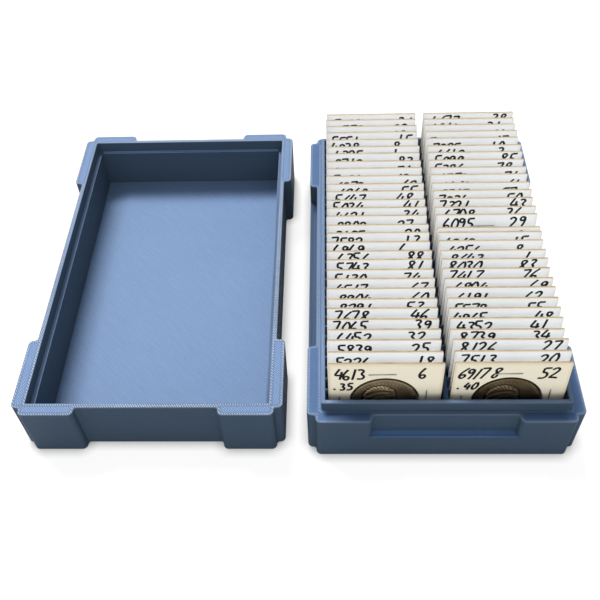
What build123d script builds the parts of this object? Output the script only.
from build123d import *
from math import atan, cos, degrees, sin
import os

# A printed two-row box for coin flips, shown open: the ribbed tray stands full of stapled coin
# flips, and its lid lies upside down on the same surface, to the left of it.
# Millimetres. X runs across the tray to the right, Y from its front to its back and Z up.
# The origin is the middle of the tray's underside.

# Coin flips: a folded card holder with a round film window, a coin and three staples
flip_side = 50.8
leaf = 0.5
leaf_gap = 0.1
card_corner = 0.5
fold_crease = 0.05
film = 0.1
film_gap = 0.05
film_slope = 0.3
film_flange = 0.3
coin_d = 30.6
coin_t = 1.8
coin_rim = 1.0
coin_rim_rise = 0.18

# Staples: a crown along the card and two legs turned in behind it
staple_crown = 12.7
staple_wire = 0.5
staple_leg = 4.4
staple_gap = 0.05
top_staple_off = 2.5
top_staple_shift = -1.5
side_staple_off = 4.4
left_staple_rise = -2.4
right_staple_rise = 1.7

# The two rows of slots
slots = 30
slot_pitch = 6.05
row_play = 2.4
rib_t = 0.8
rib_depth = 2.0
rib_drop = 0.6
divider_t = 2.0
slot_gap = 0.3
seat_gap = 0.3

# Tray and lid walls
floor_t = 2.8
ledge_z = 28.8
wall_step = 4.0
lid_rim_t = 2.3
fit_gap = 0.25
lip_t = 1.85
lip_h = 5.7
lip_clear = 0.7
lid_top_t = 1.2
headroom = 4.7

# Outline: notched corners, and a finger recess in the middle of each side
corner_notch = 4.0
front_recess = 66.0
side_recess = 113.0
recess_floor_z = 15.6
outer_fillet = 2.4
inner_fillet = 1.4
lip_fillet = 0.8
pocket_fillet = 0.6
edge_break = 0.3

# Where the lid lies: its gap to the tray, and how much further back it is
lid_gap = 10.9
lid_back = 2.8

# How the coin flips stand: shares of the full lean, and steps sideways, set by hand
lean_share = {
    ("left", 1): 0.86, ("left", 28): 0.86, ("left", 29): 0.8, ("left", 30): 0.62,
    ("right", 15): 0.42, ("right", 28): 0.88, ("right", 29): 0.76, ("right", 30): 0.62,
}
usual_share = 0.95
share_swing = 0.05
side_step = {
    ("left", 1): 0.3, ("right", 1): 0.1, ("right", 2): 0.65, ("right", 3): 0.55, ("right", 4): -0.25,
    ("right", 5): 0.4, ("right", 6): 0.45, ("right", 7): 0.4, ("right", 8): 0.35,
}
step_swing = 0.22
swing_rate = 2.4
swing_start = {"left": 0.0, "right": 1.3}
step_delay = 7
single_flips = 25

# Worked out from the sizes above
flip_t = 2 * leaf + leaf_gap
fold_radius = leaf - fold_crease
film_r = coin_d / 2 + film_gap
film_seat_r = film_r + film + film_slope + film_flange
window_r = film_seat_r + film_gap
row_width = flip_side + row_play
inside_width = 2 * row_width + divider_t
pocket_length = slots * slot_pitch
wall = wall_step + lid_rim_t + fit_gap + lip_t
width = 2 * wall + inside_width
length = 2 * wall + pocket_length
lip_top = ledge_z + lip_h
rib_top = lip_top - rib_drop
slot_clear = slot_pitch - rib_t
stand_z = floor_t + seat_gap
full_lean = atan((slot_clear - 2 * slot_gap - flip_t) / (rib_top - stand_z))
flip_top = stand_z + flip_side * cos(full_lean) + flip_t * sin(full_lean)
lid_h = flip_top + headroom + lid_top_t - ledge_z
row_centre = {"left": -(divider_t + row_width) / 2, "right": (divider_t + row_width) / 2}
front_wall_y = -pocket_length / 2


def notched_outline(recessed):
    """The outline seen from above: square corners stepped in, with or without the recesses."""
    with BuildSketch() as outline:
        Rectangle(width, length)
        with Locations(*[(x * width / 2, y * length / 2) for x in (-1, 1) for y in (-1, 1)]):
            Rectangle(2 * corner_notch, 2 * corner_notch, mode=Mode.SUBTRACT)
        if recessed:
            with Locations((0, -length / 2), (0, length / 2)):
                Rectangle(front_recess, 2 * wall_step, mode=Mode.SUBTRACT)
            with Locations((-width / 2, 0), (width / 2, 0)):
                Rectangle(2 * wall_step, side_recess, mode=Mode.SUBTRACT)
        fillet([v for v in outline.vertices() if not on_outside(v)], inner_fillet)
        fillet([v for v in outline.vertices() if on_outside(v)], outer_fillet)
    return outline.sketch


def on_outside(corner):
    """Whether a corner of the outline lies on the outermost rectangle."""
    return abs(corner.X) > width / 2 - 0.1 or abs(corner.Y) > length / 2 - 0.1


def inner_rectangle(inset, radius):
    """A rounded rectangle that lies the same distance inside the outline all round."""
    return RectangleRounded(width - 2 * inset, length - 2 * inset, radius)


def slotted_pocket(side):
    """One row's pocket seen from above: a rectangle with a rib standing in from each long side."""
    half = row_width / 2
    points, back = [(-half, front_wall_y)], []
    for n in range(1, slots):
        low, high = (front_wall_y + n * slot_pitch + s * rib_t / 2 for s in (-1, 1))
        points += [(-half, low), (-half + rib_depth, low), (-half + rib_depth, high), (-half, high)]
        back += [(half, low), (half - rib_depth, low), (half - rib_depth, high), (half, high)]
    points += [(-half, -front_wall_y), (half, -front_wall_y), *reversed(back), (half, front_wall_y)]
    with BuildSketch() as pocket:
        with BuildLine():
            Polyline(*points, close=True)
        make_face()
    return Pos(row_centre[side], 0) * pocket.sketch


def broken_edges(body, *ends):
    """The body with a small chamfer round its lowest face (0), its highest (-1), or each in turn."""
    for end in ends:
        face = body.faces().sort_by(Axis.Z)[end]
        body = chamfer(face.outer_wire().edges(), edge_break)
    return body


def base_tray():
    """The tray: floor, thick walls with finger recesses, a ledge, the raised lip and two ribbed rows."""
    lower = extrude(notched_outline(False), recess_floor_z)
    upper = Pos(0, 0, recess_floor_z) * extrude(notched_outline(True), ledge_z - recess_floor_z)
    lip = Pos(0, 0, ledge_z) * extrude(inner_rectangle(wall - lip_t, lip_fillet), lip_h)
    body = broken_edges(lower + upper, 0, -1)
    body = broken_edges(body + lip, -1)
    for side in row_centre:
        body -= Pos(0, 0, floor_t) * extrude(slotted_pocket(side), rib_top - floor_t)
    body -= Pos(0, 0, rib_top) * extrude(Rectangle(inside_width, pocket_length), rib_drop)
    return body


def lid():
    """The lid as it lies, open side up: four corner blocks, thin recessed walls and a stepped rim."""
    body = broken_edges(extrude(notched_outline(True), lid_h), 0, -1)
    body -= Pos(0, 0, lid_top_t) * extrude(inner_rectangle(wall, pocket_fillet), lid_h)
    rabbet_depth = lip_h + lip_clear
    rabbet = extrude(inner_rectangle(wall_step + lid_rim_t, lip_fillet), rabbet_depth)
    body -= Pos(0, 0, lid_h - rabbet_depth) * rabbet
    return Pos(-width - lid_gap, lid_back) * body


def card_holder():
    """The holder stands on its fold, in the XZ plane: two leaves with a slit of air between them."""
    sheet = Pos(0, 0, flip_side / 2) * Box(flip_side, flip_t, flip_side)
    sheet = fillet(sheet.edges().filter_by(Axis.Y).group_by(Axis.Z)[-1], card_corner)
    sheet = fillet(sheet.edges().filter_by(Axis.X).group_by(Axis.Z)[0], fold_radius)
    slit = Pos(0, 0, flip_side / 2 + leaf) * Box(2 * flip_side, leaf_gap, flip_side)
    window = Pos(0, 0, flip_side / 2) * Rot(90, 0, 0) * Cylinder(window_r, 2 * flip_t)
    return sheet - slit - window


def coin():
    """A struck coin on edge: a flat disc whose rim stands proud of both faces."""
    disc = Cylinder(coin_d / 2, coin_t)
    field = Cylinder(coin_d / 2 - coin_rim, coin_rim_rise)
    for end in (-1, 1):
        disc -= Pos(0, 0, end * (coin_t - coin_rim_rise) / 2) * field
    return Pos(0, 0, flip_side / 2) * Rot(90, 0, 0) * disc


def film_windows():
    """Two shallow film cups, one over each face of the coin, each seated in the window's edge."""
    over_coin = coin_t / 2 + film_gap
    foot_r = film_seat_r - film_flange
    with BuildSketch(Plane.XZ) as section:
        with BuildLine():
            Polyline(
                (0, over_coin), (film_r, over_coin), (foot_r, film_gap), (film_seat_r, film_gap),
                (film_seat_r, film_gap + film), (foot_r + film, film_gap + film),
                (film_r + film, over_coin + film), (0, over_coin + film), close=True,
            )
        make_face()
    cup = revolve(section.sketch, Axis.Z)
    cups = [Rot(90, 0, 0) * cup, Rot(-90, 0, 0) * cup]
    return [Pos(0, 0, flip_side / 2) * c for c in cups]


def staple():
    """One staple, crown along X in front of the card, its legs through it and turned in behind."""
    reach = flip_t / 2 + staple_gap
    half = staple_crown / 2
    crown = Pos(0, -reach - staple_wire / 2, 0) * Box(staple_crown, staple_wire, staple_wire)
    body = crown
    for side in (-1, 1):
        leg_x = side * (half - staple_wire / 2)
        body += Pos(leg_x, 0, 0) * Box(staple_wire, 2 * reach + 2 * staple_wire, staple_wire)
        turned_x = side * (half - staple_leg / 2)
        body += Pos(turned_x, reach + staple_wire / 2, 0) * Box(staple_leg, staple_wire, staple_wire)
    return body


def staple_places():
    """Where the three staples of a flip sit: one level near the top, one upright at each side."""
    middle = flip_side / 2
    side_x = window_r + side_staple_off
    return [
        Pos(top_staple_shift, 0, middle + window_r + top_staple_off),
        Pos(-side_x, 0, middle + left_staple_rise) * Rot(0, 90, 0),
        Pos(side_x, 0, middle + right_staple_rise) * Rot(0, 90, 0),
    ]


def pierced(holder):
    """The holder with a hole for each staple leg."""
    hole = staple_wire + 2 * staple_gap
    leg_x = (staple_crown - staple_wire) / 2
    for place in staple_places():
        for side in (-1, 1):
            holder -= place * Pos(side * leg_x, 0, 0) * Box(hole, 2 * flip_t, hole)
    return holder


def swing(side, n):
    """A small steady unevenness, from -1 to 1, so that neighbours don't stand quite alike."""
    return sin(swing_rate * n + swing_start[side])


def stand(side, n):
    """Where coin flip n of a row stands, counted from the front: on the floor, leaning back."""
    share = lean_share.get((side, n), usual_share + share_swing * swing(side, n))
    lean = share * full_lean
    x = row_centre[side] + side_step.get((side, n), step_swing * swing(side, n + step_delay))
    y = front_wall_y + (n - 1) * slot_pitch + rib_t / 2 + slot_gap + flip_t / 2
    z = stand_z + flip_t / 2 * sin(lean)
    return Pos(x, y, z) * Rot(-degrees(lean), 0, 0)


def save(name, solids):
    """Write one node, from one solid or from several that share it."""
    shape = solids[0] if len(solids) == 1 else Compound(children=list(solids))
    export_step(shape, os.path.join("parts", name + ".step"))


def main():
    os.makedirs("parts", exist_ok=True)
    save("base_tray", [base_tray()])
    save("lid", [lid()])
    holder, plain_coin = card_holder(), coin()
    stapled_holder, films = pierced(holder), film_windows()
    staples = [place * staple() for place in staple_places()]
    for side in row_centre:
        here = stand(side, 1)
        front = f"flip_{side}_01"
        save(f"{front}_holder", [here * stapled_holder])
        save(f"{front}_film", [here * f for f in films])
        save(f"{front}_coin", [here * plain_coin])
        save(f"{front}_staples", [here * s for s in staples])
        for n in range(2, single_flips + 1):
            here = stand(side, n)
            save(f"flip_{side}_{n:02d}", [here * holder, here * plain_coin])
        rest = [stand(side, n) for n in range(single_flips + 1, slots + 1)]
        grouped = [place * piece for place in rest for piece in (holder, plain_coin)]
        save(f"flips_{side}_{single_flips + 1}_to_{slots}", grouped)
    print(f"tray {width:.1f} x {length:.1f}, lid height {lid_h:.2f}, full lean {degrees(full_lean):.2f} deg")


main()
